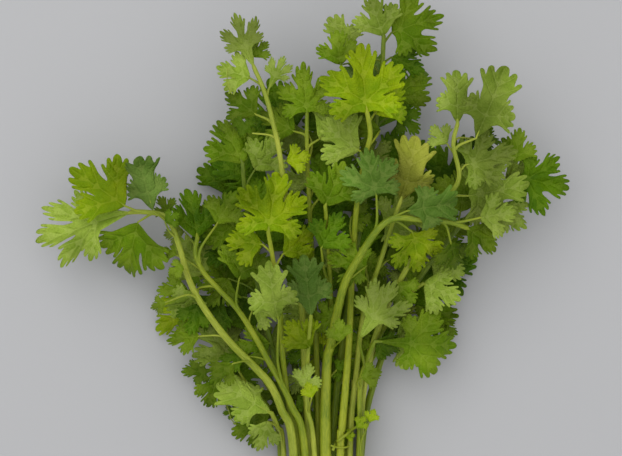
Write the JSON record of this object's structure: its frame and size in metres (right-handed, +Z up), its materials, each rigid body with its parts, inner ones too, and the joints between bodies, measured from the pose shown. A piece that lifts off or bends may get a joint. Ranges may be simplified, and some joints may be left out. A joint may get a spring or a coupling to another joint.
{
  "type": "leaf celery bunch",
  "caption": "Loose bunch of cut leafy celery stems lying on a table, green toothed leaflets spread at one end and bare cut stalks gathered at the other.",
  "frame": {"origin": "middle of the bunch's box, on the table plane that its lowest stems rest on", "axes": "+Y from the cut ends of the stems to the leaves, +Z up from the table, +X to the right as seen from above with the cut ends nearest"},
  "size_m": [0.2718, 0.3301, 0.0679],
  "materials": {
    "leaf_bright": "fresh yellow-green leaf and stalk, softly glossy",
    "leaf_mid": "fresh mid-green leaf and stalk, softly glossy",
    "leaf_dark": "fresh dark green leaf and stalk, softly glossy",
    "leaf_pale": "pale green leaf and stalk, dull as a leaf's underside"
  },
  "bodies": {
    "root": {"big_right_stem": "leaf_mid", "centre_bright_stem": "leaf_bright", "centre_top_stem": "leaf_mid", "dark_right_stem": "leaf_dark", "left_long_stem": "leaf_pale", "left_middle_stem": "leaf_mid", "low_centre_left_stem": "leaf_dark", "low_centre_right_stem": "leaf_dark", "low_far_left_stem": "leaf_mid", "low_far_right_stem": "leaf_mid", "low_left_stem": "leaf_dark", "low_right_stem": "leaf_dark", "lower_left_pale_stem": "leaf_pale", "lower_left_stem": "leaf_mid", "pale_yellow_stem": "leaf_pale", "right_low_stem": "leaf_mid", "right_middle_stem": "leaf_mid", "right_top_stem": "leaf_pale", "small_top_stem": "leaf_mid", "top_back_stem": "leaf_dark", "top_centre_stem": "leaf_bright", "top_left_stem": "leaf_pale", "upper_left_stem": "leaf_dark", "young_centre_stem": "leaf_pale"}
  },
  "joints": []
}
